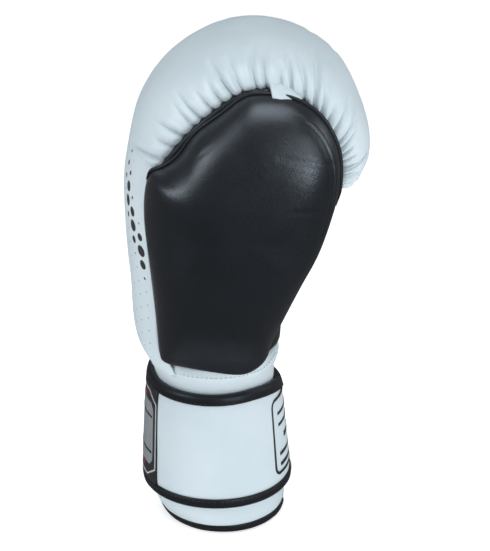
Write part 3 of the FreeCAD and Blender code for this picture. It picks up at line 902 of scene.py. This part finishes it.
def binding_profile(anchor):
    """Rounded binding that wraps one edge of the strap."""
    sign = 1 if anchor == 0 else -1
    outer, inner = STRAP_OUTSIDE + 0.75, STRAP_INSIDE - 0.45
    profile = [(BINDING, outer - 0.9), (BINDING - 0.35, outer - 0.15), (BINDING - 1.4, outer)]
    profile += [(3.2, outer), (1.7, outer - 0.35), (0.55, outer - 1.35), (0.05, (outer + inner) / 2)]
    profile += [(0.55, inner + 0.9), (1.7, inner + 0.15), (3.2, inner), (BINDING - 0.4, inner)]
    profile = [(anchor, sign * rise, out) for rise, out in profile]
    return profile if anchor else profile[::-1]


def make_strap(materials):
    """Strap in three lengths, with bound edges and ends."""
    spans = {"palm": (50, -7.5), "side": (-7.5, -89), "end": (-89, -204.5)}
    pieces = {}
    for name, (first, last) in spans.items():
        group = [strap_ring(f"strap_{name}_leather", first, last, leather_profile(), materials["white"],
                            bulge=leather_bulge)]
        for edge, anchor in (("low", 0), ("high", 1)):
            group.append(strap_ring(f"strap_{name}_{edge}_binding", first, last, binding_profile(anchor),
                                    materials["binding"]))
            angles = [lerp(first, last, k / 60) for k in range(61)]
            rise = (BINDING - 1.5) * (1 if anchor == 0 else -1)
            on_binding = STRAP_OUTSIDE + 0.72
            path = [cuff_point(a, strap_height(a, anchor, rise), on_binding) for a in angles]
            normals = [cuff_normal(a, 60) for a in angles]
            group.append(stitch_row(f"strap_{name}_{edge}_stitches", path, normals, materials["black_thread"],
                                    2.2, 1.1, 0.24))
        pieces[name] = group
    pieces["palm"].append(make_end_binding("strap_root_binding", spans["palm"][0], materials))
    pieces["end"].append(make_end_binding("strap_end_binding", spans["end"][1], materials))
    return pieces


def make_end_binding(name, angle, materials):
    """Binding across one end of the strap."""
    steps = 24
    shares = [k / steps for k in range(steps + 1)]
    path = [cuff_point(angle, strap_height(angle, share, lerp(3, -3, share)), 2.9) for share in shares]
    return give(tube(name, path, lambda i: 3.0, 14), materials["binding"])


def plate(name, left, right, low, high, chamfer, out, rise, material, bevel=0.35):
    """Raised plate on the strap between two angles and two heights, its corners cut off."""
    heights = [low, low + bevel] + [lerp(low, high, k / 24) for k in range(1, 24)] + [high - bevel, high]
    shares = [0.0, 0.012] + [k / 30 for k in range(1, 30)] + [0.988, 1.0]
    rows = []
    for index, z in enumerate(heights):
        cut = 1 - clamp(min(z - low, high - z) / chamfer[1]) if chamfer[1] else 0.0
        start, stop = left - chamfer[0] * cut, right + chamfer[0] * cut
        row = []
        for k, share in enumerate(shares):
            edge = index in (0, len(heights) - 1) or k in (0, len(shares) - 1)
            row.append(cuff_point(lerp(start, stop, share), z, out + (0 if edge else rise)))
        rows.append(row)
    return give(grid_mesh(name, rows[::-1]), material)


def ribbon(name, path, normals, width, rise, material):
    """Flat raised line along a closed path."""
    rows = []
    count = len(path)
    for i, (point, normal) in enumerate(zip(path, normals)):
        along = (path[(i + 1) % count] - path[i - 1]).normalized()
        side = along.cross(normal).normalized()
        profile = ((-1, -0.3), (-1, rise * 0.6), (-0.8, rise), (0.8, rise), (1, rise * 0.6), (1, -0.3))
        rows.append([point + side * (width / 2 * a) + normal * b for a, b in profile])
    rows.append(rows[0])
    return give(grid_mesh(name, rows, closed=True), material)


def framed_path(left, right, low, high, corner, rounded, out):
    """Closed path on the strap round a rectangle of angles and heights, its corners cut or rounded."""
    arc = 5 if rounded else 1
    corners = []
    ends = ((right, high, 1, -1), (right, low, 1, 1), (left, low, -1, 1), (left, high, -1, -1))
    for u, v, to_u, to_v in ends:
        turns = [math.pi / 2 * k / arc for k in range(arc + 1)]
        if to_u != to_v:
            turns.reverse()
        corners += [(u + to_u * corner[0] * (1 - math.cos(turn)), v + to_v * corner[1] * (1 - math.sin(turn)))
                    for turn in turns]
    points = []
    for (u0, v0), (u1, v1) in zip(corners, corners[1:] + corners[:1]):
        count = max(1, int(max(abs(u1 - u0) / 1.5, abs(v1 - v0) / 3)))
        points += [(lerp(u0, u1, k / count), lerp(v0, v1, k / count)) for k in range(count)]
    return [cuff_point(u, v, out) for u, v in points], [cuff_normal(u, v) for u, v in points]


def make_patch(materials):
    """Closure patch on the strap's end: black plate, light line, silver panel with two stripes, red bars."""
    face = STRAP_OUTSIDE + 0.35
    square = (0, 0)
    pieces = [plate("closure_patch", -138.5, -201.5, 27.2, 91.0, square, face - 0.8, 1.5, materials["print"])]
    line, normals = framed_path(-140.6, -199.4, 30.5, 87.5, (13, 6.5), False, face + 0.7)
    pieces.append(ribbon("closure_patch_line", line, normals, 1.1, 0.25, materials["grey_line"]))
    pieces.append(plate("closure_patch_panel", -145, -195, 38, 80, (5, 4), face + 0.6, 0.5,
                        materials["silver"]))
    for index, (low, high) in enumerate(((46.5, 48), (70.5, 72))):
        pieces.append(plate(f"closure_patch_stripe_{index}", -145.6, -194.4, low, high, square, face + 1.0,
                            0.25, materials["print"], 0.2))
    for index, (low, high) in enumerate(((33.5, 37.0), (81.6, 84.4))):
        pieces.append(plate(f"closure_patch_bar_{index}", -163, -177, low, high, square, face + 0.6,
                            0.3, materials["red"], 0.3))
    return pieces


def make_label(materials):
    """Printed label on the palm side of the strap: a rounded outline round plain bars."""
    face = STRAP_OUTSIDE + 0.25
    line, normals = framed_path(24, -39, 33, 82, (6, 5), True, face)
    pieces = [ribbon("strap_label", line, normals, 1.9, 0.3, materials["print"])]
    # Each bar: its middle height, half its height, and the angles of its two ends.
    bars = ((72, 1.2, 12, -31), (64.5, 1.2, 4, -31), (55, 1.8, 6, -20), (45, 1.2, 8, -31), (38, 1.2, 14, -31))
    for index, (z, half, left, right) in enumerate(bars):
        pieces.append(plate(f"strap_label_bar_{index}", left, right, z - half, z + half, (0, 0), face - 0.1,
                            0.3, materials["print"], 0.2))
    return pieces


# ------------------------------------------------------------------ stage

LAMP_TARGET = (0.02, 0, 0.17)
LAMP_COLOUR = (0.94, 0.975, 1.0)
# Name, place in metres, width in metres and power in watts.
LAMPS = (
    ("left", (-1.25, -0.6, 0.9), 0.45, 8.0),
    ("right", (0.95, -1.2, 0.42), 0.4, 8.5),
    ("rim", (1.3, 0.35, 0.75), 0.4, 3),
    ("top", (0.1, -0.3, 1.8), 1.2, 17),
)
CAMERA_TARGET = (0.018, 0, 0.157)
CAMERA_DISTANCE = 1.5
CAMERA_TILT = 20


def turned_to(place, target):
    """Rotation of a lamp or camera that looks from a place at a target."""
    return (Vector(target) - Vector(place)).to_track_quat("-Z", "Y").to_euler()


def make_stage():
    """Pale floor, soft lights and the camera."""
    nodes = Nodes("floor")
    speck = nodes.ramp(nodes.noise(8.0), 0.3, 0.7)
    colour = nodes.mix(speck, (0.90, 0.90, 0.90, 1), (0.88, 0.88, 0.885, 1))
    nodes.finish(Base_Color=colour, Roughness=0.9, Emission_Color=(1, 1, 1, 1), Emission_Strength=0.66)
    bpy.ops.mesh.primitive_plane_add(size=14, location=(0, 2, -0.0005))
    floor = bpy.context.object
    floor.name = "floor"
    give(floor, nodes.material)
    floor.visible_glossy = False

    world = bpy.data.worlds.new("studio")
    world.use_nodes = True
    background = world.node_tree.nodes["Background"]
    background.inputs["Color"].default_value = (0.95, 0.98, 1.0, 1)
    background.inputs["Strength"].default_value = 0.16
    bpy.context.scene.world = world

    for name, place, width, power in LAMPS:
        light = bpy.data.lights.new(name, "AREA")
        light.size = width
        light.color = LAMP_COLOUR
        light.energy = power
        lamp = bpy.data.objects.new(name, light)
        lamp.location = place
        lamp.rotation_euler = turned_to(place, LAMP_TARGET)
        bpy.context.scene.collection.objects.link(lamp)

    camera_data = bpy.data.cameras.new("camera")
    camera_data.lens = 155.3
    camera_data.sensor_width = 36
    camera = bpy.data.objects.new("camera", camera_data)
    tilt = math.radians(CAMERA_TILT)
    camera.location = Vector(CAMERA_TARGET) + CAMERA_DISTANCE * Vector((0, -math.cos(tilt), math.sin(tilt)))
    camera.rotation_euler = turned_to(camera.location, CAMERA_TARGET)
    bpy.context.scene.collection.objects.link(camera)
    bpy.context.scene.camera = camera
    bpy.context.scene.view_settings.view_transform = "Standard"


# ------------------------------------------------------------------ the whole glove

def ride_all(pieces, body):
    for piece in pieces:
        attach(piece, body)


def bend(piece, before, after, joint, slot):
    """Bake a length of strap's placement into its mesh. The bodies before and after it and the joint are not
    used.
    """
    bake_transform(piece)


def slot_of(piece):
    return "white_leather" if piece.data.materials[0].name == "white_leather" else "black_binding"


def dress_cad(materials):
    """Cloth and foam pieces of the CAD model that stay in view get their own finish."""
    finishes = {"hand_lining": "lining", "thumb_lining": "lining", "thumb_sleeve": "lining",
                "cuff_lining": "lining", "slit_tongue": "hooks", "loop_fastener": "hooks",
                "hook_fastener": "hooks", "grip_bar": "grip"}
    for node, finish in finishes.items():
        give(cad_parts[node], materials[finish])


def build():
    materials = make_materials()
    make_stage()
    dress_cad(materials)

    white = make_white_shell(materials)
    palm = make_inner_leather("palm_leather", 0.05, FINGERS_FROM, materials["black"])
    fingers = make_inner_leather("finger_leather", FINGERS_FROM, len(FIST) - 1, materials["black"])
    binding = materials["binding"]
    thumb_seam = make_seam_binding("thumb_side_seam_binding", thumb_seam_angle, 4.0, 13.0, binding, 1)
    palm_seam = make_seam_binding("finger_side_seam_binding", palm_seam_angle, 0.3, 13.0, binding, 2)
    ride_all([white], "glove")
    ride_all([palm, fingers], "glove")
    ride_all([thumb_seam, palm_seam], "glove")
    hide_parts("back_shell", "back_foam", "knuckle_foam", "finger_foam")
    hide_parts("palm_leather", "palm_foam", "thumb_recess_liner")
    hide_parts("finger_panel", "finger_pad")
    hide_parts("finger_seam_piping")

    thumb = make_thumb(materials)
    piping = make_thumb_piping(materials)
    tab = make_lock_tab(materials)
    for piece, slot in ((thumb, "black_leather"), (piping, "black_leather")):
        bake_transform(piece)
    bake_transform(tab)
    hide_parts("thumb_shell", "thumb_foam", "side_panel", "side_foam")
    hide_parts("thumb_piping")
    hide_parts("thumb_lock_tab")

    band, band_thread = make_wrist_band(materials)
    cuff, hem, *slit_threads = make_cuff(materials)
    ride_all([band, band_thread, cuff] + slit_threads, "glove")
    ride_all([hem], "glove")
    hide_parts("wrist_band")
    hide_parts("cuff_shell", "cuff_foam", "slit_edge_strips")
    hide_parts("hem_binding")

    strap = make_strap(materials)
    joints = {"palm": ("glove", "strap_palm", "strap_root_bend"),
              "side": ("strap_palm", "strap_side", "strap_side_bend"),
              "end": ("strap_side", "strap_end", "strap_peel")}
    for name, group in strap.items():
        for piece in group:
            bend(piece, *joints[name], slot_of(piece))
        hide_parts(f"strap_{name}_leather")
        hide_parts(f"strap_{name}_low_binding")
        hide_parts(f"strap_{name}_high_binding")
    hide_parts("strap_root_leather")
    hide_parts("strap_root_low_binding")
    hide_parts("strap_root_high_binding")

    patch = make_patch(materials)
    ride_all(patch, "strap_end")
    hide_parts("closure_patch")
    label = make_label(materials)
    ride_all(label, "strap_palm")
    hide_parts("strap_label")


build()
